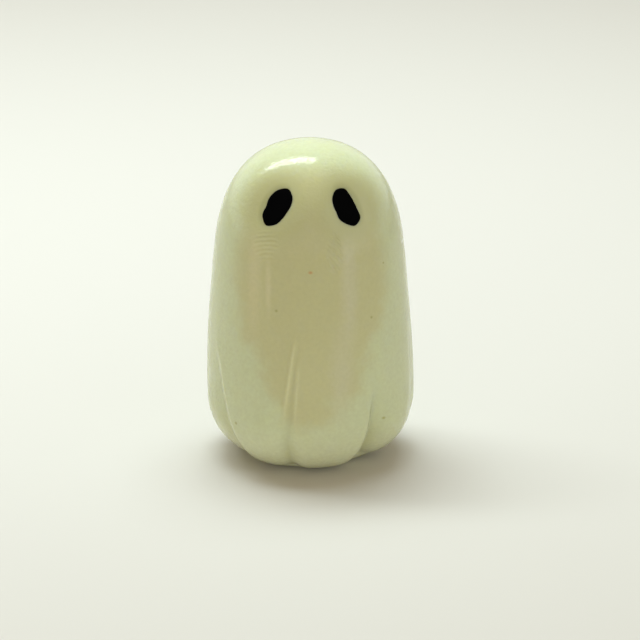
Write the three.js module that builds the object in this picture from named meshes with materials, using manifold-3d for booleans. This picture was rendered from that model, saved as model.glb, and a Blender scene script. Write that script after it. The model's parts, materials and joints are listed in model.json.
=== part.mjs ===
// A small glow-in-the-dark ghost figure: a sheet draped over a round head, cast as one solid lump of
// resin with glow powder in it, and two black eyes filled into shallow pockets in its face.
// Millimetres, +Z up. The origin is the middle of the flat foot, and the face looks along -Y.
// Azimuths are in degrees from the front, growing towards +X.

import * as THREE from "three";
import { mergeVertices } from "three/addons/utils/BufferGeometryUtils.js";
import Module from "manifold-3d";

const wasm = await Module();
wasm.setup();

// Overall size of the casting.
const bodyHeight = 30;
const bodyWidth = 19.2;
const bodyDepth = 17.6;

// The outline from the foot to the crown: how far the hem tucks under to the foot, how high its widest
// ring and its shoulder lie, and how far the side draws in to the shoulder.
const hemTuck = 5.75;
const hemFlare = 3.55;
const hemRise = 3.1;
const widestHeight = 6;
const sideHandle = 5.5;
const shoulderDrawIn = 0.95;
const shoulderLean = 5.8;
const shoulderHandleBelow = 2;
const shoulderHandleAbove = 6;
const domeHeight = 9.6;
const crownHandle = 5.4;

// Eyes: leaning ovals, apart by eyeSpacing and below the crown by eyeDrop, measured at their middles.
const eyeSpacing = 6.5;
const eyeDrop = 4.2;
const eyeLength = 3.6;
const leftEyeLean = 24;
const rightEyeLean = 18.5;

// The ovals are drawn freehand, so each has its own outline: points across and along the eye, as shares
// of half its length, that a smooth closed line runs through.
const leftEyeOutline = [
  [0.625, 0.044],
  [0.619, 0.372],
  [0.478, 0.785],
  [0.05, 1.047],
  [-0.367, 0.766],
  [-0.538, 0.383],
  [-0.538, 0.044],
  [-0.461, -0.252],
  [-0.378, -0.699],
  [0.05, -1.006],
  [0.469, -0.682],
  [0.593, -0.27],
];
const rightEyeOutline = [
  [0.451, -0.028],
  [0.443, 0.271],
  [0.374, 0.748],
  [-0.074, 0.952],
  [-0.477, 0.669],
  [-0.607, 0.279],
  [-0.623, -0.028],
  [-0.651, -0.361],
  [-0.463, -0.702],
  [-0.074, -1.014],
  [0.372, -0.8],
  [0.442, -0.326],
];
const outlineTension = 0.5;

// The black fill, which stands a little off the floor of its hollow, and the pocket that holds it.
const fillThickness = 0.5;
const fillStandOff = 0.06;
const fillEdgeRound = 0.14;
const fillGap = 0.05;

// The thumbed hollow round each eye, which reaches further towards the temple than to the nose.
const hollowDepth = 0.42;
const hollowHalfLength = 2.6;
const hollowHalfWidth = 1.9;
const hollowShift = 0.4;

// Folds in the sheet, in order round the body: valleys that deepen from a top height down to the hem.
// Each curves from one azimuth at its top to another at the hem, and eases out over a width to its left
// and its right. The sheet swells out by the last value on its way to the next fold, or sinks in.
const folds = [
  { top: 15, topAt: -146, hemAt: -148, depth: 0.4, leftWidth: 1.4, rightWidth: 0.5, swell: 0.16 },
  { top: 13, topAt: -104, hemAt: -97, depth: 0.27, leftWidth: 0.5, rightWidth: 3.4, swell: 0.02 },
  { top: 14, topAt: -76, hemAt: -50, depth: 0.34, leftWidth: 3, rightWidth: 0.4, swell: 0.35 },
  { top: 12.5, topAt: -7.5, hemAt: -15, depth: 0.37, leftWidth: 0.95, rightWidth: 0.7, swell: -0.25 },
  { top: 11, topAt: 39.3, hemAt: 39.2, depth: 0.95, leftWidth: 0.88, rightWidth: 2, swell: 0.32 },
  { top: 17, topAt: 74, hemAt: 80, depth: 0.12, leftWidth: 0.5, rightWidth: 0.6, swell: 0.2 },
  { top: 14.5, topAt: 121, hemAt: 127, depth: 0.45, leftWidth: 1.5, rightWidth: 0.5, swell: 0.18 },
  { top: 12, topAt: 173, hemAt: 168, depth: 0.4, leftWidth: 0.6, rightWidth: 1.4, swell: 0.14 },
];

// A crisp tuck inside the front right fold, where the sheet doubles back on itself.
const tuck = { top: 10.5, topAt: 39, hemAt: 35.5, depth: 0.3, leftWidth: 0.22, rightWidth: 0.8 };
const hemFullDepth = 2.6;
const foldFade = 0.6;

// Soft ridges that stand off the sheet between two heights: the one that hangs from each eye hollow,
// the pair of pinched pleats above the front fold, the lips of the front left and front right folds,
// and two behind.
const eyeRidgeDrop = 2.7;
const eyeRidgeTop = bodyHeight - eyeDrop - eyeRidgeDrop;
const ridges = [
  { top: eyeRidgeTop, bottom: 12.5, topAt: -28, bottomAt: -25.5, rise: 0.16, width: 1 },
  { top: eyeRidgeTop, bottom: 9.5, topAt: 18.5, bottomAt: 21.5, rise: 0.16, width: 1.1 },
  { top: 15, bottom: 4, topAt: -8.5, bottomAt: -17.5, rise: 0.16, width: 0.4 },
  { top: 12.8, bottom: 5.5, topAt: -6.8, bottomAt: -10.6, rise: 0.14, width: 0.35 },
  { top: 11, bottom: 0.5, topAt: -59.5, bottomAt: -46, rise: 0.08, width: 0.3 },
  { top: 15.5, bottom: 5, topAt: 38, bottomAt: 47, rise: 0.12, width: 0.8 },
  { top: 22, bottom: 9, topAt: 150, bottomAt: 148, rise: 0.15, width: 1.2 },
  { top: 20, bottom: 8, topAt: -125, bottomAt: -122, rise: 0.14, width: 1.1 },
];
const ridgeEaseAbove = 2.4;
const ridgeEaseBelow = 4.8;

// Fineness of the facets. The columns stand closer together near the folds, and spread evenly above them.
const columns = 112;
const foldCrowding = 1.4;
const foldCrowdingWidth = 9;
const hemSteps = 10;
const sideSteps = 15;
const domeSteps = 18;
const eyeSteps = 36;
const edgeSteps = 3;
const azimuthTrials = 1440;
const heightHalvings = 40;

const resinColour = new THREE.Color().setRGB(0.8, 0.83, 0.62, THREE.SRGBColorSpace);
const paintColour = new THREE.Color().setRGB(0.02, 0.02, 0.025, THREE.SRGBColorSpace);

const halfWidth = bodyWidth / 2;
const depthShare = bodyDepth / bodyWidth;
const shoulderRadius = halfWidth - shoulderDrawIn;
const shoulderHeight = bodyHeight - domeHeight;
const footRadius = halfWidth - hemTuck;

// The outline's three curves, from the rim of the foot to the crown.
function outlineCurves() {
  const lean = Math.tan(THREE.MathUtils.degToRad(shoulderLean));
  const foot = new THREE.Vector2(footRadius, 0);
  const widest = new THREE.Vector2(halfWidth, widestHeight);
  const shoulder = new THREE.Vector2(shoulderRadius, shoulderHeight);
  const crown = new THREE.Vector2(0, bodyHeight);
  const hem = new THREE.CubicBezierCurve(
    foot,
    new THREE.Vector2(footRadius + hemFlare, 0),
    new THREE.Vector2(halfWidth, widestHeight - hemRise),
    widest,
  );
  const side = new THREE.CubicBezierCurve(
    widest,
    new THREE.Vector2(halfWidth, widestHeight + sideHandle),
    new THREE.Vector2(shoulderRadius + lean * shoulderHandleBelow, shoulderHeight - shoulderHandleBelow),
    shoulder,
  );
  const dome = new THREE.CubicBezierCurve(
    shoulder,
    new THREE.Vector2(shoulderRadius - lean * shoulderHandleAbove, shoulderHeight + shoulderHandleAbove),
    new THREE.Vector2(crownHandle, bodyHeight),
    crown,
  );
  return [
    [hem, hemSteps],
    [side, sideSteps],
    [dome, domeSteps],
  ];
}

// Points of the outline with the outward normal at each, in the half plane of radius and height.
function outlinePoints() {
  const points = [{ radius: 0, height: 0, outward: 0, upward: -1 }];
  for (const [curve, steps] of outlineCurves()) {
    const first = points.length === 1 ? 0 : 1;
    for (let i = first; i <= steps; i++) {
      const at = curve.getPoint(i / steps);
      const along = curve.getTangent(i / steps);
      points.push({ radius: at.x, height: at.y, outward: along.y, upward: -along.x });
    }
  }
  return points;
}

// The outline's radius and normal at a height on the side or the dome, by halving the interval.
function outlineAtHeight(height) {
  const [, [side], [dome]] = outlineCurves();
  const curve = height < shoulderHeight ? side : dome;
  let low = 0;
  let high = 1;
  for (let i = 0; i < heightHalvings; i++) {
    const middle = (low + high) / 2;
    if (curve.getPoint(middle).y < height) low = middle;
    else high = middle;
  }
  const along = curve.getTangent(low);
  return { radius: curve.getPoint(low).x, outward: along.y, upward: -along.x };
}

// A point and the outward normal of the plain turned form, before anything is pressed into it.
function plainPoint(azimuth, radius, height) {
  return new THREE.Vector3(
    radius * Math.sin(azimuth),
    -radius * Math.cos(azimuth) * depthShare,
    height,
  );
}

function plainNormal(azimuth, outward, upward) {
  return new THREE.Vector3(
    outward * Math.sin(azimuth),
    (-outward * Math.cos(azimuth)) / depthShare,
    upward,
  ).normalize();
}

// Degrees from one azimuth to another, the short way round.
function turnBetween(from, to) {
  return THREE.MathUtils.euclideanModulo(to - from + 180, 360) - 180;
}

function bell(distance, width) {
  return Math.exp(-((distance / width) ** 2));
}

// The share of its full depth that a fold has reached at a height, and the azimuth it has there.
function foldShare(fold, height) {
  return THREE.MathUtils.smoothstep(fold.top - height, 0, fold.top - hemFullDepth);
}

function foldPath(fold, height) {
  const up = THREE.MathUtils.clamp(height / fold.top, 0, 1);
  return THREE.MathUtils.lerp(fold.hemAt, fold.topAt, up ** 2);
}

// How far one fold cuts in at an azimuth and a height.
function foldCut(fold, azimuth, radius, height) {
  const across = THREE.MathUtils.degToRad(turnBetween(foldPath(fold, height), azimuth)) * radius;
  const width = across < 0 ? fold.leftWidth : fold.rightWidth;
  return fold.depth * foldShare(fold, height) * bell(across, width);
}

// How far the sheet swells out between one fold and the next.
function foldSwell(fold, next, azimuth, height) {
  const start = foldPath(fold, height);
  const span = THREE.MathUtils.euclideanModulo(foldPath(next, height) - start, 360);
  const from = THREE.MathUtils.euclideanModulo(azimuth - start, 360);
  if (from > span) return 0;
  const flare = THREE.MathUtils.smoothstep(height, 0, widestHeight);
  return fold.swell * flare * foldShare(fold, height) * Math.sin((Math.PI * from) / span);
}

// How far one ridge stands up at an azimuth and a height.
function ridgeRise(ridge, azimuth, radius, height) {
  const down = THREE.MathUtils.clamp((ridge.top - height) / (ridge.top - ridge.bottom), 0, 1);
  const path = THREE.MathUtils.lerp(ridge.topAt, ridge.bottomAt, down);
  const across = THREE.MathUtils.degToRad(turnBetween(path, azimuth)) * radius;
  const fromTop = THREE.MathUtils.smoothstep(ridge.top - height, 0, ridgeEaseAbove);
  const fromBottom = THREE.MathUtils.smoothstep(height - ridge.bottom, 0, ridgeEaseBelow);
  return ridge.rise * fromTop * fromBottom * bell(across, ridge.width);
}

// The frame of one eye: its middle on the plain form, the way it faces, and the two directions in
// its plane, with v along the leaning oval. side is -1 for the eye at -X and 1 for the one at +X.
function eyeFrame(side, name, eyeLean, outline) {
  const height = bodyHeight - eyeDrop;
  const { radius, outward, upward } = outlineAtHeight(height);
  const azimuth = side * Math.asin(eyeSpacing / 2 / radius);
  const middle = plainPoint(azimuth, radius, height);
  const facing = plainNormal(azimuth, outward, upward);
  const level = new THREE.Vector3(0, 0, 1).cross(facing).normalize();
  const lean = THREE.MathUtils.degToRad(side * eyeLean);
  const u = level.clone().applyAxisAngle(facing, lean);
  const v = facing.clone().cross(u);
  return { side, name, outline, middle, facing, u, v };
}

// How far the hollow round one eye is pressed in at a point of the plain form.
function hollowCut(frame, point) {
  const from = point.clone().sub(frame.middle);
  const across = (from.dot(frame.u) - frame.side * hollowShift) / hollowHalfWidth;
  const along = from.dot(frame.v) / hollowHalfLength;
  const away = from.dot(frame.facing) / hollowHalfLength;
  return hollowDepth * bell(Math.hypot(across, along, away), 1);
}

const eyeFrames = [
  eyeFrame(-1, "left_eye_fill", leftEyeLean, leftEyeOutline),
  eyeFrame(1, "right_eye_fill", rightEyeLean, rightEyeOutline),
];

// Everything that is pressed into or stands off the plain form, along its normal.
function relief(azimuth, radius, height, point) {
  const degrees = THREE.MathUtils.radToDeg(azimuth);
  let sum = 0;
  folds.forEach((fold, i) => {
    const next = folds[(i + 1) % folds.length];
    sum += foldSwell(fold, next, degrees, height) - foldCut(fold, degrees, radius, height);
  });
  sum -= foldCut(tuck, degrees, radius, height);
  for (const ridge of ridges) sum += ridgeRise(ridge, degrees, radius, height);
  sum *= THREE.MathUtils.smoothstep(height, 0, foldFade);
  for (const frame of eyeFrames) sum -= hollowCut(frame, point);
  return sum;
}

// The azimuths of the columns at the hem, from even steps in a count that runs faster near each fold.
function crowdedAzimuths() {
  const counts = [0];
  for (let i = 0; i < azimuthTrials; i++) {
    const degrees = ((i + 0.5) * 360) / azimuthTrials;
    const near = folds.map((fold) => bell(turnBetween(fold.hemAt, degrees), foldCrowdingWidth));
    counts.push(counts[i] + 1 + foldCrowding * Math.max(...near));
  }
  const azimuths = [];
  let i = 0;
  for (let k = 0; k < columns; k++) {
    const wanted = (k / columns) * counts[azimuthTrials];
    while (counts[i + 1] < wanted) i++;
    const share = (wanted - counts[i]) / (counts[i + 1] - counts[i]);
    azimuths.push(((i + share) / azimuthTrials) * 2 * Math.PI);
  }
  return azimuths;
}

// The whole draped form as one closed skin, before the eye pockets are cut.
function drapedForm() {
  const outline = outlinePoints();
  const profile = outline.map((p) => new THREE.Vector2(p.radius, p.height));
  const geometry = new THREE.LatheGeometry(profile, columns);
  const crowded = crowdedAzimuths();
  const position = geometry.getAttribute("position");
  for (let i = 0; i <= columns; i++) {
    const even = ((i % columns) / columns) * 2 * Math.PI;
    outline.forEach(({ radius, height, outward, upward }, j) => {
      const spread = THREE.MathUtils.smoothstep(height, widestHeight, shoulderHeight);
      const azimuth = THREE.MathUtils.lerp(crowded[i % columns], even, spread);
      const point = plainPoint(azimuth, radius, height);
      const normal = plainNormal(azimuth, outward, upward);
      point.addScaledVector(normal, relief(azimuth, radius, height, point));
      position.setXYZ(i * outline.length + j, point.x, point.y, point.z);
    });
  }
  return geometry;
}

// The oval of one eye, grown all round by a margin.
function eyeOval(outline, margin) {
  const knots = outline.map(([across, along]) => new THREE.Vector3(across, along, 0));
  const line = new THREE.CatmullRomCurve3(knots, true, "catmullrom", outlineTension);
  const points = [];
  for (let i = 0; i < eyeSteps; i++) {
    const { x, y } = line.getPoint(i / eyeSteps).multiplyScalar(eyeLength / 2);
    points.push(new THREE.Vector2(x, y).setLength(Math.hypot(x, y) + margin));
  }
  return new THREE.Shape(points);
}

// The height of the hollow's floor at the middle of an eye, from the plain form.
function hollowFloor(frame) {
  return -hollowCut(frame, frame.middle);
}

// The black fill of one eye, with a rounded rim, lying in the plane of the eye.
function eyeFill(frame, material) {
  const geometry = new THREE.ExtrudeGeometry(eyeOval(frame.outline, 0), {
    depth: fillThickness - 2 * fillEdgeRound,
    bevelThickness: fillEdgeRound,
    bevelSize: fillEdgeRound,
    bevelOffset: -fillEdgeRound,
    bevelSegments: edgeSteps,
  });
  geometry.translate(0, 0, hollowFloor(frame) + fillStandOff - fillThickness + fillEdgeRound);
  const mesh = new THREE.Mesh(geometry, material);
  mesh.name = frame.name;
  mesh.position.copy(frame.middle);
  mesh.quaternion.setFromRotationMatrix(new THREE.Matrix4().makeBasis(frame.u, frame.v, frame.facing));
  return mesh;
}

// The pocket for one fill: its oval with the gap all round, from under the fill out past the face.
function eyePocket(frame) {
  const geometry = new THREE.ExtrudeGeometry(eyeOval(frame.outline, fillGap), {
    depth: fillThickness + hollowDepth + eyeLength,
    bevelEnabled: false,
  });
  geometry.translate(0, 0, hollowFloor(frame) + fillStandOff - fillThickness - fillGap);
  const place = new THREE.Matrix4().makeBasis(frame.u, frame.v, frame.facing).setPosition(frame.middle);
  return geometry.applyMatrix4(place);
}

// A closed geometry as a solid that can be cut, and the way back.
function solidFrom(geometry) {
  const bare = geometry.clone();
  bare.deleteAttribute("normal");
  bare.deleteAttribute("uv");
  const merged = mergeVertices(bare);
  return new wasm.Manifold(
    new wasm.Mesh({
      numProp: 3,
      vertProperties: merged.getAttribute("position").array,
      triVerts: new Uint32Array(merged.index.array),
    }),
  );
}

function geometryFrom(solid) {
  const mesh = solid.getMesh();
  const geometry = new THREE.BufferGeometry();
  geometry.setAttribute("position", new THREE.BufferAttribute(mesh.vertProperties, 3));
  geometry.setIndex(new THREE.BufferAttribute(mesh.triVerts, 1));
  geometry.computeVertexNormals();
  return geometry;
}

// The resin casting: the draped form with the two eye pockets cut into it.
function bodyCasting(material) {
  let solid = solidFrom(drapedForm());
  for (const frame of eyeFrames) solid = solid.subtract(solidFrom(eyePocket(frame)));
  const mesh = new THREE.Mesh(geometryFrom(solid), material);
  mesh.name = "body_casting";
  return mesh;
}

const glowResin = new THREE.MeshStandardMaterial({ color: resinColour, roughness: 0.28, metalness: 0 });
const blackPaint = new THREE.MeshStandardMaterial({ color: paintColour, roughness: 0.5, metalness: 0 });

const ghost = new THREE.Group();
ghost.name = "glow_ghost";
ghost.add(bodyCasting(glowResin));
for (const frame of eyeFrames) ghost.add(eyeFill(frame, blackPaint));

export default ghost;
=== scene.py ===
# %% [markdown]
# # A glow-in-the-dark ghost, cast in resin
# The object is a small solid ghost: a sheet over a round head, poured in one lump of milky resin with
# glow powder in it, and two black eyes filled into its face. This lesson makes the three pieces from
# simple shapes, gives them their finishes, and sets up the light and the camera.
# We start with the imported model. It fixes the place and size of each piece, so it is loaded first.

import json
import math

import bmesh
import bpy
from mathutils import Matrix, Vector, noise
from mathutils.bvhtree import BVHTree
from mathutils.geometry import interpolate_bezier

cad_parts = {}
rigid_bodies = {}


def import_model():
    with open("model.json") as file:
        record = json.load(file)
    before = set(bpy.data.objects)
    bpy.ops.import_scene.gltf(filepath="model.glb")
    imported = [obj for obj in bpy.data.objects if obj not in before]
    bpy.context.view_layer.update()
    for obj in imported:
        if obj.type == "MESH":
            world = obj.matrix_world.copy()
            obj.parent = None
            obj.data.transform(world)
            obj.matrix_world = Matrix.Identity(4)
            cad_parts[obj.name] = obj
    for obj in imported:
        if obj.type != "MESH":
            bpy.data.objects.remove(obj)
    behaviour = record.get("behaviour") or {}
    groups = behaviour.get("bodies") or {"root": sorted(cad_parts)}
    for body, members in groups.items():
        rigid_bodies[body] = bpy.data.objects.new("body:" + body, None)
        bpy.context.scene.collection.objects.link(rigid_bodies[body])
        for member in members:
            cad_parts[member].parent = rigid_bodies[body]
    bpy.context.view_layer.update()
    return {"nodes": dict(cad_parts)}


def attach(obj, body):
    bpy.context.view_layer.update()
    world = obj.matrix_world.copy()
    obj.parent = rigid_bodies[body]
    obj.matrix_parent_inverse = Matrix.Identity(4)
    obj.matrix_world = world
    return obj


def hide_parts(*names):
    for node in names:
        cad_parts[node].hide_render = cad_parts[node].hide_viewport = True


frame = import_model()
print("packed nodes:", sorted(frame["nodes"]))

# %% [markdown]
# ## The outline of the draped sheet
# The real master was modelled by hand or on a computer, and its outline is a smooth line from the foot
# to the crown: out and up round the tucked hem, straight up the side, and over the head. It could be
# drawn as one curve object, but here the line is also needed as numbers, to find where an eye lies. So
# three Bezier stretches are worked out as points, in the half plane of radius and height.

# %% Draw the outline
MM = 0.001
body_height = 30 * MM
half_width = 9.6 * MM
depth_share = 17.6 / 19.2

foot_radius = 3.85 * MM
hem_flare = 3.55 * MM
hem_rise = 3.1 * MM
widest_height = 6 * MM
side_handle = 5.5 * MM
shoulder_radius = 8.65 * MM
shoulder_height = 20.4 * MM
shoulder_lean = math.tan(math.radians(5.8))
handle_below = 2 * MM
handle_above = 6 * MM
crown_handle = 5.4 * MM
hem_points, side_points, dome_points = 46, 66, 64


def stretch(start, start_handle, end_handle, end, points):
    """Points along one Bezier stretch, each a (radius, height) pair."""
    ends = [Vector((*p, 0)) for p in (start, start_handle, end_handle, end)]
    return [p.to_2d() for p in interpolate_bezier(*ends, points)]


foot = (foot_radius, 0)
widest = (half_width, widest_height)
shoulder = (shoulder_radius, shoulder_height)
crown = (0, body_height)
hem_line = stretch(
    foot,
    (foot_radius + hem_flare, 0),
    (half_width, widest_height - hem_rise),
    widest,
    hem_points,
)
side_line = stretch(
    widest,
    (half_width, widest_height + side_handle),
    (shoulder_radius + handle_below * shoulder_lean, shoulder_height - handle_below),
    shoulder,
    side_points,
)
dome_line = stretch(
    shoulder,
    (shoulder_radius - handle_above * shoulder_lean, shoulder_height + handle_above),
    (crown_handle, body_height),
    crown,
    dome_points,
)
outline = hem_line + side_line[1:] + dome_line[1:]
print("outline points:", len(outline))

# %% [markdown]
# ## Spinning the outline
# A round body could be built on a UV sphere, but spinning the real outline gives rows that follow the
# form. One chain of vertices is swept a full turn round the upright axis and joined to itself. The
# body is a little flatter from front to back than it is wide, so the spun shape is scaled along Y.

# %% Spin the body
turn_steps = 384
merge_distance = 1e-7
body_mesh = bmesh.new()
chain = [body_mesh.verts.new((0, 0, 0))]
chain += [body_mesh.verts.new((0, -p.x, p.y)) for p in outline]
chain_edges = [body_mesh.edges.new(pair) for pair in zip(chain, chain[1:])]
bmesh.ops.spin(
    body_mesh,
    geom=chain + chain_edges,
    cent=(0, 0, 0),
    axis=(0, 0, 1),
    angle=2 * math.pi,
    steps=turn_steps,
    use_merge=True,
)
bmesh.ops.remove_doubles(body_mesh, verts=body_mesh.verts[:], dist=merge_distance)
bmesh.ops.recalc_face_normals(body_mesh, faces=body_mesh.faces[:])
print("spun body:", len(body_mesh.verts), "vertices,", len(body_mesh.faces), "faces")

# %% [markdown]
# ## Where the eyes lie
# Each eye is a leaning oval that lies flat against the head. To place one, we need a point on the head,
# the direction that the head faces there, and two directions in the plane of the eye. The point comes
# from the outline at the eye's height, and the rest follows from the slope there. A painter would just
# pick a spot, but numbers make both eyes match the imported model.

# %% Find the eyes' frames
eye_spacing = 6.5 * MM
eye_drop = 4.2 * MM
eye_lean = {-1: 24.0, 1: 18.5}


def outline_at(height):
    """The radius and the slope of the outline at a height on the head."""
    for low, high in zip(dome_line, dome_line[1:]):
        if low.y <= height <= high.y:
            share = (height - low.y) / (high.y - low.y)
            return low.lerp(high, share).x, (high - low).normalized()
    raise ValueError("no such height on the head")


def eye_frame(side):
    """A matrix whose columns are across the eye, along it, the way it faces, and its middle."""
    height = body_height - eye_drop
    radius, slope = outline_at(height)
    turn = side * math.asin(eye_spacing / 2 / radius)
    middle = Vector((radius * math.sin(turn), -radius * math.cos(turn) * depth_share, height))
    facing = Vector((slope.y * math.sin(turn), -slope.y * math.cos(turn) / depth_share, -slope.x))
    facing.normalize()
    level = Vector((0, 0, 1)).cross(facing).normalized()
    across = Matrix.Rotation(math.radians(side * eye_lean[side]), 3, facing) @ level
    along = facing.cross(across)
    return Matrix.Translation(middle) @ Matrix((across, along, facing)).transposed().to_4x4()


eye_frames = {side: eye_frame(side) for side in (-1, 1)}
for side, place in eye_frames.items():
    print("eye", side, "middle, mm:", [round(v * 1000, 2) for v in place.translation])

# %% [markdown]
# ## Pressing folds into the sheet
# On the real ghost the sheet hangs in soft folds, which start half way down and deepen to the hem. They
# were carved into the master. A displacement texture could do it, but a fold has a path, a depth and a
# different softness on each side, so each one is written as a few sizes, and every vertex is moved
# along its own normal by the sum of them. Azimuths are degrees from the front, growing to the right,
# and the other sizes are in mm. A crisp tuck lies inside the front right fold, where the sheet doubles
# back on itself. The ridges are soft crests down the sheet, three of them narrow like pinched pleats.

# %% Describe the folds and ridges
FOLDS = [  # top, azimuth at the top, azimuth at the hem, depth, softness left and right, swell after
    (15, -146, -148, 0.40, 1.4, 0.5, 0.16),
    (13, -104, -97, 0.27, 0.5, 3.4, 0.02),
    (14, -76, -50, 0.34, 3.0, 0.4, 0.35),
    (12.5, -7.5, -15, 0.37, 0.95, 0.7, -0.25),
    (11, 39.3, 39.2, 0.95, 0.88, 2.0, 0.32),
    (17, 74, 80, 0.12, 0.5, 0.6, 0.20),
    (14.5, 121, 127, 0.45, 1.5, 0.5, 0.18),
    (12, 173, 168, 0.40, 0.6, 1.4, 0.14),
]
TUCK = (10.5, 39, 35.5, 0.3, 0.22, 0.8)  # the same sizes, without a swell
TOP, TOP_AT, HEM_AT, DEPTH, LEFT, RIGHT, SWELL = range(7)
RIDGES = [  # top, bottom, azimuth at the top, azimuth at the bottom, rise, softness
    (23.1, 12.5, -28, -25.5, 0.16, 1.0),
    (23.1, 9.5, 18.5, 21.5, 0.16, 1.1),
    (15, 4, -8.5, -17.5, 0.12, 0.22),
    (12.8, 4, -6.8, -10.6, 0.1, 0.2),
    (11, 0.5, -59.5, -46, 0.065, 0.3),
    (15.5, 5, 38, 47, 0.12, 0.8),
    (22, 9, 150, 148, 0.15, 1.2),
    (20, 8, -125, -122, 0.14, 1.1),
]
RISE, SOFTNESS = 4, 5
hem_full_depth = 2.6
deep_cut = 0.3
fold_fade = 0.6
ease_above = 2.4
ease_below = 4.8


def ease(value, start, end):
    """0 before start, 1 after end, and a smooth rise between."""
    t = min(max((value - start) / (end - start), 0), 1)
    return t * t * (3 - 2 * t)


def bell(distance, width):
    """1 in the middle, a third at the width, and nearly 0 at twice the width."""
    return math.exp(-((distance / width) ** 2))


def turned(start, end):
    """Degrees from one azimuth to another, the short way round."""
    return (end - start + 180) % 360 - 180


# %% Press them in
def fold_path(fold, height):
    """The azimuth of a fold at a height."""
    up = min(max(height / fold[TOP], 0), 1)
    return fold[HEM_AT] + (fold[TOP_AT] - fold[HEM_AT]) * up * up


def fold_reach(fold, height):
    """The share of its full depth that a fold has at a height."""
    return ease(fold[TOP] - height, 0, fold[TOP] - hem_full_depth)


def fold_cut(fold, azimuth, radius, height):
    """How far one fold cuts in at a place, in mm."""
    across = math.radians(turned(fold_path(fold, height), azimuth)) * radius
    softness = fold[LEFT] if across < 0 else fold[RIGHT]
    return fold_reach(fold, height) * fold[DEPTH] * bell(across, softness)


def crease_share(fold, azimuth, radius, height):
    """How close to the bottom of a deep fold a place is, from 0 to 1."""
    share = fold_cut(fold, azimuth, radius, height) / fold[DEPTH]
    return share**4 * min(fold[DEPTH] / deep_cut, 1)


def fold_swell(fold, following, azimuth, height):
    """How far the sheet swells between one fold and the next, in mm."""
    start = fold_path(fold, height)
    span = (fold_path(following, height) - start) % 360
    beyond = (azimuth - start) % 360
    if beyond > span:
        return 0.0
    flare = ease(height, 0, widest_height / MM)
    return fold[SWELL] * flare * fold_reach(fold, height) * math.sin(math.pi * beyond / span)


def ridge_share(ridge, azimuth, radius, height):
    """The share of its full rise that one soft ridge has at a place."""
    top, bottom, top_at, bottom_at, _, softness = ridge
    shown = ease(top - height, 0, ease_above) * ease(height - bottom, 0, ease_below)
    if shown == 0:
        return 0.0
    down = min(max((top - height) / (top - bottom), 0), 1)
    across = math.radians(turned(top_at + (bottom_at - top_at) * down, azimuth)) * radius
    return shown * bell(across, softness)


def sheet_relief(azimuth, radius, height):
    """All folds and ridges at one place of the sheet, in mm."""
    total = sum(ridge[RISE] * ridge_share(ridge, azimuth, radius, height) for ridge in RIDGES)
    for fold, following in zip(FOLDS, FOLDS[1:] + FOLDS[:1]):
        total += fold_swell(fold, following, azimuth, height)
        total -= fold_cut(fold, azimuth, radius, height)
    total -= fold_cut(TUCK, azimuth, radius, height)
    return total * ease(height, 0, fold_fade)


# %% [markdown]
# ## Thumbed hollows round the eyes
# Each eye sits at the bottom of a shallow dish, as if a thumb had pressed it. A dish is a bell in three
# directions, wider along the eye than across it, and shifted a little towards the temple. While every
# vertex is at hand, it also keeps two numbers for the finish: how near it is to a sharp crest, where a
# painted highlight makes the skin paler, and how deep in a crease, where painted shade makes it darker.

# %% Press the sheet and the hollows
hollow_depth = 0.42 * MM
hollow_length = 2.6 * MM
hollow_width = 1.9 * MM
hollow_shift = 0.4 * MM


def hollow_relief(side, place, point):
    """How deep the hollow of one eye is at a point."""
    local = place.inverted() @ point
    across = (local.x - side * hollow_shift) / hollow_width
    spread = math.hypot(across, local.y / hollow_length, local.z / hollow_length)
    return hollow_depth * bell(spread, 1)


unevenness = 0.012 * MM
unevenness_scale = 0.45 / MM
even_foot = 2
crisp_ridge = 0.45

places = []
for vertex in body_mesh.verts:
    azimuth = math.degrees(math.atan2(vertex.co.x, -vertex.co.y))
    radius = math.hypot(vertex.co.x, vertex.co.y)
    places.append((azimuth, radius / MM, vertex.co.z / MM))
bmesh.ops.scale(body_mesh, vec=(1, depth_share, 1), verts=body_mesh.verts[:])
body_mesh.normal_update()
moves = []
for vertex, (azimuth, radius, height) in zip(body_mesh.verts, places):
    move = sheet_relief(azimuth, radius, height) * MM
    for side, place in eye_frames.items():
        move -= hollow_relief(side, place, vertex.co)
    wobble = noise.noise(vertex.co * unevenness_scale) - 1  # only inwards
    move += unevenness * wobble * ease(height, 0, even_foot)
    moves.append(vertex.normal * move)
for vertex, move in zip(body_mesh.verts, moves):
    vertex.co += move
# These two numbers carry a painted highlight on crests and painted shade in creases.
crest_highlight_layer = body_mesh.verts.layers.float.new("crest")
crease_shade_layer = body_mesh.verts.layers.float.new("crease")
crisp_ridges = [ridge for ridge in RIDGES if ridge[SOFTNESS] < crisp_ridge]
for vertex, at in zip(body_mesh.verts, places):
    vertex[crest_highlight_layer] = max(ridge_share(ridge, *at) ** 2 for ridge in crisp_ridges)
    vertex[crease_shade_layer] = max(crease_share(fold, *at) for fold in (*FOLDS, TUCK))
print("deepest press, mm:", round(max(m.length for m in moves) / MM, 3))

# %% [markdown]
# ## Cutting the eye pockets
# The master has a pocket for each eye, so that black paint can be flooded in up to a clean edge. Each
# eye was drawn freehand, a leaning oval that is a little different from the other. The pocket's cutter
# is that oval, made from a circle and pulled up into a prism, and a Boolean takes it away. Only a
# Boolean gives the crisp rim here, because the rows of the spun body run across the leaning oval.

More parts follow.
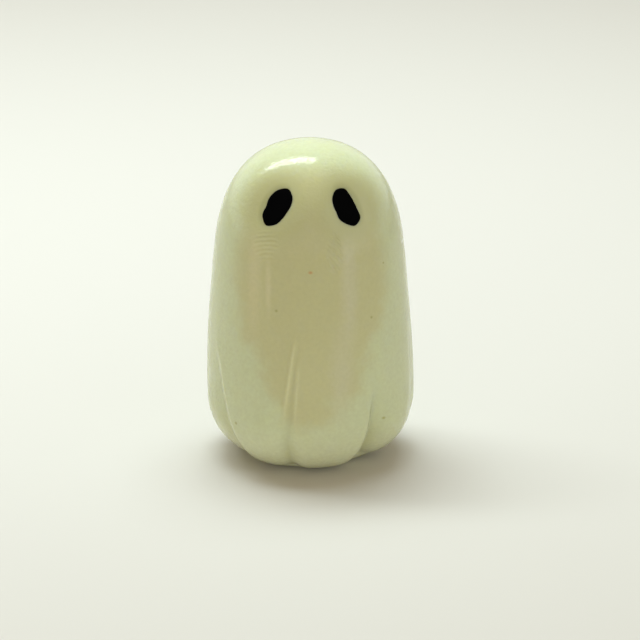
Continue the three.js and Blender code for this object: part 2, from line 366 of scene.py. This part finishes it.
# %% Shape the oval
half_eye = 1.8 * MM
eye_outline = {  # across and along each eye, as shares of half its length
    -1: (
        (0.665, 0.044), (0.662, 0.397), (0.487, 0.801), (0.05, 1.024),
        (-0.355, 0.746), (-0.518, 0.372), (-0.531, 0.044), (-0.451, -0.245),
        (-0.383, -0.706), (0.05, -1.032), (0.499, -0.732), (0.641, -0.297),
    ),
    1: (
        (0.472, -0.028), (0.465, 0.283), (0.375, 0.749), (-0.074, 0.902),
        (-0.463, 0.645), (-0.617, 0.285), (-0.637, -0.028), (-0.675, -0.375),
        (-0.483, -0.737), (-0.074, -1.058), (0.399, -0.847), (0.468, -0.341),
    ),
}
steps_between = 8


def oval_line(side):
    """The eye's outline as many points: a Bezier between each two, with handles along its neighbours."""
    knots = [Vector((*knot, 0)) * half_eye for knot in eye_outline[side]]
    line = []
    for i, start in enumerate(knots):
        end, after = knots[(i + 1) % len(knots)], knots[(i + 2) % len(knots)]
        start_handle = start + (end - knots[i - 1]) / 6
        end_handle = end - (after - start) / 6
        line += interpolate_bezier(start, start_handle, end_handle, end, steps_between + 1)[:-1]
    return line


def oval_disc(side, margin):
    """A bmesh with one flat face in the outline of the eye, grown all round by a margin."""
    line = oval_line(side)
    disc = bmesh.new()
    bmesh.ops.create_circle(disc, cap_ends=True, segments=len(line), radius=1)
    for vertex, point in zip(disc.verts, line):
        vertex.co = point * (1 + margin / point.length)
    bmesh.ops.recalc_face_normals(disc, faces=disc.faces[:])
    return disc


# %% Cut the pockets
pocket_gap = 0.012 * MM
paint_creep = 0.03 * MM
fill_thickness = 0.5 * MM
fill_floor = -hollow_depth - fill_thickness
pocket_reach = 3 * MM
plain_sharp, rim_sharp, fill_sharp = 60, 40, 50


def new_piece(name, mesh, sharp_from):
    """An object from a bmesh, shaded smooth except at edges sharper than an angle in degrees."""
    data = bpy.data.meshes.new(name)
    mesh.to_mesh(data)
    mesh.free()
    data.shade_smooth()
    data.set_sharp_from_angle(angle=math.radians(sharp_from))
    piece = bpy.data.objects.new(name, data)
    bpy.context.scene.collection.objects.link(piece)
    return piece


def apply_modifiers(piece):
    """Makes what the modifiers show the piece's own mesh."""
    graph = bpy.context.evaluated_depsgraph_get()
    finished = bpy.data.meshes.new_from_object(piece.evaluated_get(graph))
    piece.modifiers.clear()
    piece.data = finished


skin = BVHTree.FromBMesh(body_mesh)
body = new_piece("ghost_body", body_mesh, plain_sharp)
for side, place in eye_frames.items():
    cutter_mesh = oval_disc(side, paint_creep + pocket_gap)
    walls = bmesh.ops.extrude_face_region(cutter_mesh, geom=cutter_mesh.faces[:])
    lid = [v for v in walls["geom"] if isinstance(v, bmesh.types.BMVert)]
    bmesh.ops.translate(cutter_mesh, vec=(0, 0, pocket_reach), verts=lid)
    bmesh.ops.translate(cutter_mesh, vec=(0, 0, fill_floor), verts=cutter_mesh.verts[:])
    bmesh.ops.recalc_face_normals(cutter_mesh, faces=cutter_mesh.faces[:])
    bmesh.ops.transform(cutter_mesh, matrix=place, verts=cutter_mesh.verts[:])
    cutter = new_piece("pocket_cutter", cutter_mesh, plain_sharp)
    cut = body.modifiers.new("pocket", "BOOLEAN")
    cut.operation = "DIFFERENCE"
    cut.solver = "EXACT"
    cut.object = cutter
    apply_modifiers(body)
    bpy.data.objects.remove(cutter)
body.data.set_sharp_from_angle(angle=math.radians(rim_sharp))
print("body:", len(body.data.vertices), "vertices,", len(body.data.polygons), "faces")

# %% [markdown]
# ## The black eyes
# The paint fills its pocket to the brim and follows the dish, a hair proud in the middle where it was
# wet, with a rim that rounds off over a few hundredths. Its top starts as the same oval, inset again
# and again for rings, and each ring is set onto the skin that the Boolean cut away. Solidify would
# round the floor too, so the disc is extruded down to a flat floor instead.

# %% Make the eye fills
ring_count = 8
crown_of_paint = 0.05 * MM
rim_round = 0.02 * MM
wall_tilt = 0.5


def on_skin(place, point):
    """How high the uncut skin lies over a point of the eye's plane."""
    start = place @ Vector((point.x, point.y, pocket_reach))
    hit, _, _, _ = skin.ray_cast(start, -(place.to_3x3() @ Vector((0, 0, 1))))
    return (place.inverted() @ hit).z


def eye_fill(side, place):
    """A bmesh of one fill: a flat floor, upright walls, and a top that follows the skin."""
    fill = oval_disc(side, paint_creep)
    rim = [v.co.copy() for v in fill.verts]
    centre = bmesh.ops.poke(fill, faces=fill.faces[:])["verts"][0]
    spokes = [e for e in fill.edges if centre in e.verts]
    bmesh.ops.subdivide_edges(fill, edges=spokes, cuts=ring_count, use_grid_fill=True)
    under = bmesh.ops.extrude_face_region(fill, geom=fill.faces[:], use_keep_orig=True)
    lowered = {v for v in under["geom"] if isinstance(v, bmesh.types.BMVert)}
    longest = max(point.length for point in rim)
    for vertex in fill.verts:
        if vertex in lowered:
            vertex.co.z = fill_floor + pocket_gap
        else:
            dome = crown_of_paint * (1 - min(vertex.co.length / longest, 1) ** 2)
            vertex.co.z = on_skin(place, vertex.co) + dome
    bmesh.ops.recalc_face_normals(fill, faces=fill.faces[:])
    walls = [f for f in fill.faces if abs(f.normal.z) < wall_tilt]
    top_rim = [e for f in walls for e in f.edges if all(v not in lowered for v in e.verts)]
    bmesh.ops.bevel(
        fill, geom=top_rim, offset=rim_round, segments=2, profile=0.5, affect="EDGES", material=-1
    )
    bmesh.ops.transform(fill, matrix=place, verts=fill.verts[:])
    bmesh.ops.recalc_face_normals(fill, faces=fill.faces[:])
    return fill


eyes = {
    side: new_piece(name, eye_fill(side, eye_frames[side]), fill_sharp)
    for side, name in ((-1, "left_eye_paint"), (1, "right_eye_paint"))
}
for side, eye in eyes.items():
    print(eye.name, len(eye.data.polygons), "faces")

# %% [markdown]
# ## Helpers for finishes
# Each finish is a small network of nodes. A few short helpers keep the networks readable: one gives a
# socket a value or a link, and the others add a node and feed its inputs. Effects that both finishes
# share, such as the fine grain of a cast surface, are node groups, so that each material only sets how
# much of it there is.

# %% Helpers
def feed(tree, socket, value):
    """Gives an input either a link or a value of its own."""
    if isinstance(value, bpy.types.NodeSocket):
        tree.links.new(value, socket)
    else:
        socket.default_value = value


def add_node(tree, kind, **inputs):
    """Adds a node and feeds the inputs that are named."""
    node = tree.nodes.new(kind)
    for name, value in inputs.items():
        feed(tree, node.inputs[name.replace("_", " ")], value)
    return node


def math_node(tree, operation, *values, kind="ShaderNodeMath"):
    """A Math or Vector Math node, with its inputs in order."""
    node = tree.nodes.new(kind)
    node.operation = operation
    for socket, value in zip(node.inputs, values):
        feed(tree, socket, value)
    return node


def math_value(tree, operation, *values):
    """The number that one Math node puts out."""
    return math_node(tree, operation, *values).outputs["Value"]


def blend_colours(tree, share, first, second):
    """A Mix node that blends two colours."""
    node = tree.nodes.new("ShaderNodeMix")
    node.data_type = "RGBA"
    for name, value in (("Factor_Float", share), ("A_Color", first), ("B_Color", second)):
        feed(tree, next(s for s in node.inputs if s.identifier == name), value)
    return next(s for s in node.outputs if s.identifier == "Result_Color")


def new_group(name, inputs, outputs):
    """A node group, with a kind for each named socket."""
    tree = bpy.data.node_groups.new(name, "ShaderNodeTree")
    for label, kind in inputs.items():
        tree.interface.new_socket(label, in_out="INPUT", socket_type=kind)
    for label, kind in outputs.items():
        tree.interface.new_socket(label, in_out="OUTPUT", socket_type=kind)
    return tree, tree.nodes.new("NodeGroupInput").outputs, tree.nodes.new("NodeGroupOutput").inputs


def use_group(tree, group, **inputs):
    """Puts a group in a tree and feeds its inputs."""
    node = tree.nodes.new("ShaderNodeGroup")
    node.node_tree = group
    for name, value in inputs.items():
        feed(tree, node.inputs[name.replace("_", " ")], value)
    return node


def srgb(red, green, blue):
    """A colour as a picture shows it, turned into the linear values that nodes use."""
    shown = (red, green, blue)
    return (*[c / 12.92 if c <= 0.04045 else ((c + 0.055) / 1.055) ** 2.4 for c in shown], 1)


NUMBER, VECTOR = "NodeSocketFloat", "NodeSocketVector"

# %% [markdown]
# ## The grain of a cast surface
# Nothing cast by hand is quite smooth. Its skin is gently wavy, it has a finer grit, and over a few
# millimetres its tint drifts. These are three noises at three sizes, so the group takes one size and
# makes the others from it. It puts out a height for a bump, and a patch value for tint and gloss.

# %% Shared grain
grit_fineness = 1.6
patch_fineness = 0.16

grain_group, g_in, g_out = new_group(
    "cast_grain",
    {"Place": VECTOR, "Size": NUMBER, "Waviness": NUMBER, "Grit": NUMBER},
    {"Height": NUMBER, "Patch": NUMBER},
)


def grain_noise(fineness, detail):
    """One noise of the grain, finer or broader than its size by a factor."""
    scale = math_value(grain_group, "DIVIDE", fineness, g_in["Size"])
    node = add_node(grain_group, "ShaderNodeTexNoise", Vector=g_in["Place"], Scale=scale, Detail=detail)
    return node.outputs["Fac"]


g_waves = math_value(grain_group, "MULTIPLY", grain_noise(1.0, 2.0), g_in["Waviness"])
g_grit = math_value(grain_group, "MULTIPLY", grain_noise(grit_fineness, 1.0), g_in["Grit"])
feed(grain_group, g_out["Height"], math_value(grain_group, "ADD", g_waves, g_grit))
feed(grain_group, g_out["Patch"], grain_noise(patch_fineness, 3.0))
print("group:", grain_group.name)

# %% [markdown]
# ## Spots
# Several marks of the casting are soft spots: a crumb of dust, a pinhole, the cloud of powder behind the
# face, the haze round an eye. One small group does them all. A Mapping node of the texture kind brings
# the spot's own frame to the origin, so the length of what comes out is the distance from its middle in
# shares of three half sizes. The mask falls from 1 to 0 between two such shares.

# %% Spot group
spot_group, s_in, s_out = new_group(
    "soft_spot",
    {"Place": VECTOR, "Middle": VECTOR, "Turn": VECTOR, "Size": VECTOR, "Full": NUMBER, "Gone": NUMBER},
    {"Mask": NUMBER},
)
s_own = add_node(
    spot_group,
    "ShaderNodeMapping",
    Vector=s_in["Place"],
    Location=s_in["Middle"],
    Rotation=s_in["Turn"],
    Scale=s_in["Size"],
)
s_own.vector_type = "TEXTURE"
s_far = math_node(spot_group, "LENGTH", s_own.outputs["Vector"], kind="ShaderNodeVectorMath")
s_fall = add_node(
    spot_group,
    "ShaderNodeMapRange",
    Value=s_far.outputs["Value"],
    From_Min=s_in["Full"],
    From_Max=s_in["Gone"],
    To_Min=1.0,
    To_Max=0.0,
)
s_fall.interpolation_type = "SMOOTHSTEP"
feed(spot_group, s_out["Mask"], s_fall.outputs["Result"])


def spot(tree, place, middle, size, turn=(0, 0, 0), full=0.5, gone=1.0):
    """The mask of one soft spot, its middle and half sizes in mm."""
    group = use_group(
        tree,
        spot_group,
        Place=place,
        Middle=Vector(middle) * MM,
        Turn=turn,
        Size=Vector(size) * MM,
        Full=full,
        Gone=gone,
    )
    return group.outputs["Mask"]


# %% [markdown]
# ## Glow resin
# The resin is a pale green cream with powder in it, so light goes in, scatters and comes out again up to
# a millimetre away. That is what makes it look soft, and what darkens it beside the black eyes.
# Subsurface scattering on the Principled shader does this. The front is painted a darker khaki, as
# painted shade, in a long tongue with a torn edge. The tongue is the inside of a parabola on the front,
# which a little arithmetic gives, and the grain's patches push its edge about.
# Near the foot the cream is painted paler, as painted light of the bounce from the pale floor.

# %% Resin colour
resin = bpy.data.materials.new("milky_glow_resin")
resin.use_nodes = True
r_tree = resin.node_tree
r_shader = r_tree.nodes["Principled BSDF"]
r_place = add_node(r_tree, "ShaderNodeTexCoord").outputs["Object"]
r_parts = add_node(r_tree, "ShaderNodeSeparateXYZ", Vector=r_place).outputs
r_grain = use_group(
    r_tree, grain_group, Place=r_place, Size=0.5 * MM, Waviness=0.012 * MM, Grit=0.024 * MM
)

cream_green = srgb(0.808, 0.835, 0.69)
# painted shade: the darker khaki of the front
front_shade_khaki = srgb(0.785, 0.78, 0.605)
# painted light: the pale floor's bounce on the hem
painted_bounce_cream = srgb(0.84, 0.855, 0.72)
tongue_tip = 5.2 * MM
tongue_spread = 3.9054 * MM  # half its width squared, over its height above the tip
tongue_edge = 2.7 * MM
torn_by = 13.5 * MM
shade_cloud_middle = (-0.1, -8.0, 17.5)
shade_cloud_size = (7.8, 7.0, 13.5)
bounce_below, bounce_up_to = 1.5 * MM, 6.5 * MM


def falling(tree, value, full, gone):
    """1 where a value is at most full, 0 where it is gone, and a smooth fall between."""
    node = add_node(
        tree, "ShaderNodeMapRange", Value=value, From_Min=full, From_Max=gone, To_Min=1.0, To_Max=0.0
    )
    node.interpolation_type = "SMOOTHSTEP"
    return node.outputs["Result"]


# Painted shade on the front: a khaki tongue inside a parabola, its edge torn by the grain.
r_square = math_value(r_tree, "MULTIPLY", r_parts["X"], r_parts["X"])
r_needed = math_value(r_tree, "DIVIDE", r_square, tongue_spread)
r_above = math_value(r_tree, "SUBTRACT", r_parts["Z"], tongue_tip)
r_outside = math_value(r_tree, "SUBTRACT", r_needed, r_above)
r_pushed = math_value(r_tree, "SUBTRACT", r_grain.outputs["Patch"], 0.5)
r_torn = math_value(r_tree, "MULTIPLY_ADD", r_pushed, torn_by, r_outside)
r_shade_tongue = falling(r_tree, r_torn, -tongue_edge, tongue_edge)
r_shade_cloud = spot(r_tree, r_place, shade_cloud_middle, shade_cloud_size, full=0.8, gone=1.12)
r_front_shade = math_value(r_tree, "MULTIPLY", r_shade_tongue, r_shade_cloud)
# Painted light near the foot, where the floor's bounce falls.
r_bounce = falling(r_tree, r_parts["Z"], bounce_below, bounce_up_to)
r_cream = blend_colours(r_tree, r_bounce, cream_green, painted_bounce_cream)
r_colour = blend_colours(r_tree, r_front_shade, r_cream, front_shade_khaki)

# %% [markdown]
# ## Veils, painted highlights on crests, painted shade in creases
# Inside the khaki, a few upright veils of paler resin ran down while it set. Sharp crests of the sheet
# get a painted highlight, a paler cream, and creases and the foot get painted shade, a darker khaki. The
# veils are long thin spots, the crests and creases come from the numbers that the vertices keep, and a
# fine mottling is laid over it all.

# %% Resin veils
VEILS = [  # middle in mm, half sizes in mm, how much, colour
    ((-5.1, -6.6, 19.0), (0.75, 1.5, 6.5), 0.7, srgb(0.83, 0.81, 0.65)),
    ((-3.85, -7.2, 18.6), (0.32, 1.5, 3.0), 0.7, srgb(0.835, 0.82, 0.675)),
    ((3.3, -7.5, 18.2), (0.95, 1.5, 7.0), 0.8, srgb(0.805, 0.80, 0.68)),
    ((2.6, -8.0, 10.6), (1.25, 1.5, 5.2), 0.65, srgb(0.805, 0.80, 0.68)),
]
for middle, size, most, colour in VEILS:
    veil = spot(r_tree, r_place, middle, size, full=0.1, gone=1.3)
    r_colour = blend_colours(r_tree, math_value(r_tree, "MULTIPLY", veil, most), r_colour, colour)

# Painted highlight: sharp crests are painted a paler cream.
painted_crest_highlight, crest_highlight_tint = srgb(0.86, 0.87, 0.73), 0.32
# Painted shade: creases and the foot are painted a darker khaki.
painted_shade_khaki, painted_shade_tint = srgb(0.76, 0.76, 0.54), 0.42
foot_shade_below, foot_shade_up_to = 0.1 * MM, 1.0 * MM
r_crest_highlight = add_node(r_tree, "ShaderNodeAttribute")
r_crest_highlight.attribute_name = "crest"
r_painted_highlight = math_value(r_tree, "MULTIPLY", r_crest_highlight.outputs["Fac"], crest_highlight_tint)
r_colour = blend_colours(r_tree, r_painted_highlight, r_colour, painted_crest_highlight)
r_crease_shade = add_node(r_tree, "ShaderNodeAttribute")
r_crease_shade.attribute_name = "crease"
r_foot_shade = falling(r_tree, r_parts["Z"], foot_shade_below, foot_shade_up_to)
r_painted_shade = math_value(r_tree, "MAXIMUM", r_crease_shade.outputs["Fac"], r_foot_shade)
r_shade_share = math_value(r_tree, "MULTIPLY", r_painted_shade, painted_shade_tint)
r_colour = blend_colours(r_tree, r_shade_share, r_colour, painted_shade_khaki)

mottle_size = 0.35 * MM
mottle_khaki, mottle_tint = srgb(0.72, 0.72, 0.56), 0.23
r_mottle = add_node(r_tree, "ShaderNodeTexNoise", Vector=r_place, Scale=1 / mottle_size, Detail=3.0)
r_spread = add_node(
    r_tree,
    "ShaderNodeMapRange",
    Value=r_mottle.outputs["Fac"],
    From_Min=0.3,
    From_Max=0.7,
    To_Max=mottle_tint,
)
r_colour = blend_colours(r_tree, r_spread.outputs["Result"], r_colour, mottle_khaki)

# %% [markdown]
# ## Painted shade round the eyes
# The cream is painted dimmer round the eyes, as painted shade in the hollows: clearly for half a
# millimetre, and faintly over the hollow and the bridge between the eyes. Each shade is a spot with the
# eye's own frame, so that it leans as the eye does.

# %% Painted shade round the eyes
EYE_SHADES = [  # half sizes across the eye, along it and outwards in mm, share where it is gone, colour
    ((1.7, 1.6, 2.0), 2.85, srgb(0.735, 0.735, 0.55)),
    ((1.05, 1.75, 1.6), 1.4, srgb(0.69, 0.69, 0.5)),
]
for side, place in eye_frames.items():
    temple = place @ Vector((side * hollow_shift / 2, 0, 0))
    # Painted shade round each eye, in two spots.
    for size, gone, colour in EYE_SHADES:
        eye_shade = spot(r_tree, r_place, temple / MM, size, turn=place.to_euler(), full=1.0, gone=gone)
        r_colour = blend_colours(r_tree, eye_shade, r_colour, colour)

# %% [markdown]
# ## Faults that show a hand at work
# A crumb of orange dust lies in the middle of the face, bubbles left a few pinholes, a smudge sits low
# on the right, and there is a short white scuff on the side. Each is a soft spot set on the nearest
# place of the skin.

# %% Resin specks
dust, pinhole = srgb(0.77, 0.62, 0.44), srgb(0.67, 0.67, 0.47)
smudge, scuff = srgb(0.69, 0.69, 0.46), srgb(0.93, 0.95, 0.88)
SPECKS = [  # middle in mm, half sizes in mm, colour
    ((-0.12, -7.98, 20.19), (0.25, 0.25, 0.18), dust),
    ((-3.16, -7.77, 16.59), (0.17, 0.17, 0.17), pinhole),
    ((5.39, -6.76, 15.50), (0.16, 0.16, 0.16), pinhole),
    ((6.50, -5.29, 20.15), (0.13, 0.13, 0.13), pinhole),
    ((-6.75, -6.26, 5.30), (0.19, 0.19, 0.19), pinhole),
    ((6.75, -6.26, 5.30), (0.26, 0.26, 0.2), smudge),
    ((8.39, -1.64, 20.98), (0.3, 0.8, 0.16), scuff),
]
for middle, size, colour in SPECKS:
    hit, _, _, _ = skin.find_nearest(Vector(middle) * MM)
    mark = spot(r_tree, r_place, hit / MM, size, full=0.0, gone=1.2)
    r_colour = blend_colours(r_tree, mark, r_colour, colour)
feed(r_tree, r_shader.inputs["Base Color"], r_colour)
print("specks:", len(SPECKS))

# %% [markdown]
# ## Layer lines
# The master of the mould was printed in layers, lying aslant, and most of the steps were sanded away.
# Under the eyes they remain: level arches on the left and short slanted strokes on the right. They are
# only hundredths of a millimetre high, far below what a mesh can hold, so they go into the bump. Waves
# along the one slanted direction give both, faded in by a soft spot under each eye.

# %% Resin skin
layer_direction = (0.363, 0.885, 0.29)
layer_step = 0.22 * MM
layer_height = 0.012 * MM
lines_on_left = ((-4.15, -6.85, 22.25), (1.5, 2.0, 2.1))  # middle and half sizes in mm
lines_on_right = ((2.06, -7.45, 21.75), (0.85, 2.0, 2.4))
right_is_deeper = 2.2
smoothest, roughest = 0.08, 0.17
r_along = math_node(r_tree, "DOT_PRODUCT", r_place, layer_direction, kind="ShaderNodeVectorMath")
r_phase = math_value(r_tree, "MULTIPLY", r_along.outputs["Value"], 2 * math.pi / layer_step)
r_waves = math_value(r_tree, "SINE", r_phase)
r_left = spot(r_tree, r_place, *lines_on_left)
r_right = spot(r_tree, r_place, *lines_on_right)
r_deeper = math_value(r_tree, "MULTIPLY", r_right, right_is_deeper)
r_shown = math_value(r_tree, "MAXIMUM", r_left, r_deeper)
r_lines = math_value(r_tree, "MULTIPLY", r_waves, r_shown)
r_steps = math_value(r_tree, "MULTIPLY", r_lines, layer_height)
r_height = math_value(r_tree, "ADD", r_grain.outputs["Height"], r_steps)
r_bump = add_node(r_tree, "ShaderNodeBump", Strength=1.0, Distance=1.0, Height=r_height)
feed(r_tree, r_shader.inputs["Normal"], r_bump.outputs["Normal"])
r_rough = add_node(
    r_tree, "ShaderNodeMapRange", Value=r_grain.outputs["Patch"], To_Min=smoothest, To_Max=roughest
)
feed(r_tree, r_shader.inputs["Roughness"], r_rough.outputs["Result"])
r_shader.inputs["IOR"].default_value = 1.45
r_shader.inputs["Subsurface Weight"].default_value = 0.9
r_shader.inputs["Subsurface Radius"].default_value = (1.0, 0.9, 0.55)
r_shader.inputs["Subsurface Scale"].default_value = 0.9 * MM

# %% [markdown]
# ## Black paint
# The eyes are a dense black with a dull skin, so they show almost no highlight. The same grain group
# gives them the faint orange peel of thick paint, and a drift between black and nearly black.

# %% Paint
paint = bpy.data.materials.new("dull_black_paint")
paint.use_nodes = True
p_tree = paint.node_tree
p_shader = p_tree.nodes["Principled BSDF"]
p_place = add_node(p_tree, "ShaderNodeTexCoord").outputs["Object"]
p_grain = use_group(
    p_tree, grain_group, Place=p_place, Size=0.3 * MM, Waviness=0.004 * MM, Grit=0.001 * MM
)
deep_black, worn_black = srgb(0.002, 0.002, 0.003), srgb(0.012, 0.012, 0.014)
p_colour = blend_colours(p_tree, p_grain.outputs["Patch"], deep_black, worn_black)
feed(p_tree, p_shader.inputs["Base Color"], p_colour)
p_rough = add_node(
    p_tree, "ShaderNodeMapRange", Value=p_grain.outputs["Patch"], To_Min=0.5, To_Max=0.65
)
feed(p_tree, p_shader.inputs["Roughness"], p_rough.outputs["Result"])
p_bump = add_node(
    p_tree, "ShaderNodeBump", Strength=1.0, Distance=1.0, Height=p_grain.outputs["Height"]
)
feed(p_tree, p_shader.inputs["Normal"], p_bump.outputs["Normal"])
p_shader.inputs["Specular IOR Level"].default_value = 0.015

# %% [markdown]
# ## Joining the pieces to the imported model
# Each piece stands for one imported node, which it hides, rides on the only body, and gets its finish.

# %% Attach
for piece, node, finish, slot in (
    (body, "body_casting", resin, "glow_resin"),
    (eyes[-1], "left_eye_fill", paint, "black_paint"),
    (eyes[1], "right_eye_fill", paint, "black_paint"),
):
    piece.data.materials.clear()
    piece.data.materials.append(finish)
    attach(piece, "root")
    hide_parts(node)
    print(piece.name, "stands for", node)

# %% [markdown]
# ## Floor
# The ghost stands on a plain pale floor, wide enough to fill the view behind it.

# %% Lay the floor
floor_half = 2.0
floor_mesh = bmesh.new()
bmesh.ops.create_grid(floor_mesh, x_segments=1, y_segments=1, size=floor_half)
floor = new_piece("floor", floor_mesh, plain_sharp)
floor_finish = bpy.data.materials.new("pale_floor")
floor_finish.use_nodes = True
floor_shader = floor_finish.node_tree.nodes["Principled BSDF"]
floor_shader.inputs["Base Color"].default_value = srgb(0.83, 0.82, 0.80)
floor_shader.inputs["Roughness"].default_value = 0.7
floor.data.materials.append(floor_finish)

# %% [markdown]
# ## Lamps
# A pale resin figure shows its form best under a broad soft light from above, with less light in front.
# One narrow lamp overhead, a little behind and to the left, draws the streak on the crown. A wide one
# beside it lights the head, a very wide one far in front lights the face, and low lamps round the figure
# put pale edges on the sheet. An area lamp is used for each, because its size sets how soft it is, and
# its power here follows from how bright its face should look. The wide one and the one in front are
# hidden from gloss, so that the crown mirrors only the narrow one.

# %% Hang the lamps
def soft_lamp(name, place, target, size, radiance, colour):
    """A rectangular lamp of a given size and brightness."""
    data = bpy.data.lights.new(name, "AREA")
    data.shape = "RECTANGLE"
    data.size, data.size_y = size
    data.energy = radiance * math.pi * size[0] * size[1]
    data.color = colour
    lamp = bpy.data.objects.new(name, data)
    bpy.context.scene.collection.objects.link(lamp)
    aim = (Vector(target) - Vector(place)).to_track_quat("-Z", "Y")
    lamp.matrix_world = Matrix.Translation(place) @ aim.to_matrix().to_4x4()
    return lamp


cool_white = (0.82, 0.97, 1.0)
near_white = (0.9, 1.0, 1.0)
figure_middle = Vector((0, 0, body_height / 2))
soft_lamp("streak", (-0.095, 0.0725, 0.25), (-0.095, 0.0725, 0), (0.24, 0.05), 11.7, near_white)
overhead = soft_lamp("overhead", (0, 0.07, 0.26), (0, 0.07, 0), (0.20, 0.14), 5.45, cool_white)
front = soft_lamp("front", (0, -0.6, 0.15), figure_middle, (0.9, 0.28), 1.37, (1.0, 1.0, 1.0))
overhead.visible_glossy = False
front.visible_glossy = False

ring_radius = 0.30
ring_rise = math.radians(17)
RING = [  # name, degrees round from the front, radiance
    ("right_front", 50, 0.65),
    ("left_back", -140, 0.3),
    ("right_back", 140, 0.3),
]
for name, azimuth, radiance in RING:
    round_by = math.radians(azimuth)
    flat = ring_radius * math.cos(ring_rise)
    place = figure_middle + Vector(
        (flat * math.sin(round_by), -flat * math.cos(round_by), ring_radius * math.sin(ring_rise))
    )
    soft_lamp(name, place, figure_middle, (0.22, 0.17), radiance, cool_white)

# %% [markdown]
# ## World
# The world fills the shadows with a dim, warm light. What the camera sees of it, directly or in a gloss,
# is the pale backdrop instead, so the light on the resin and the look of the background are set apart
# from each other.

# %% Set the world
warm_fill = (0.34, 0.26, 0.16, 1)
backdrop = srgb(0.93, 0.92, 0.9)
world = bpy.data.worlds.new("studio")
bpy.context.scene.world = world
world.use_nodes = True
w_tree = world.node_tree
w_path = add_node(w_tree, "ShaderNodeLightPath").outputs
w_seen = math_value(w_tree, "MAXIMUM", w_path["Is Camera Ray"], w_path["Is Glossy Ray"])
w_colour = blend_colours(w_tree, w_seen, warm_fill, backdrop)
feed(w_tree, w_tree.nodes["Background"].inputs["Color"], w_colour)

# %% [markdown]
# ## Camera
# The photograph was taken from a little above with a long lens, so that the sides hardly taper. The
# camera stands 260 mm away, 20 degrees up, and a hair to the left of straight ahead. It aims a little to
# the right of the ghost's middle and below it, so that the ghost sits in the picture as it does in the
# photo.

# %% Camera
camera_away = 260 * MM
camera_turn = math.radians(-1.9)
camera_rise = math.radians(20)
pixels_per_mm = 10.9
picture_width = 640
sensor_width = 36
left_of_centre, above_centre = 10.7, 22
camera_data = bpy.data.cameras.new("camera")
camera_data.sensor_width = sensor_width
camera_data.lens = sensor_width * pixels_per_mm * (camera_away / MM) / picture_width
camera_data.clip_start = 0.01
back = Vector(
    (
        math.sin(camera_turn) * math.cos(camera_rise),
        -math.cos(camera_turn) * math.cos(camera_rise),
        math.sin(camera_rise),
    )
)
right = Vector((0, 0, 1)).cross(back).normalized()
up = back.cross(right)
pixel = MM / pixels_per_mm
aim_at = figure_middle + right * (left_of_centre * pixel) - up * (above_centre * pixel)
camera = bpy.data.objects.new("camera", camera_data)
bpy.context.scene.collection.objects.link(camera)
camera.matrix_world = Matrix.Translation(aim_at + back * camera_away) @ Matrix(
    (right, up, back)
).transposed().to_4x4()
bpy.context.scene.camera = camera
bpy.context.scene.view_settings.view_transform = "Standard"
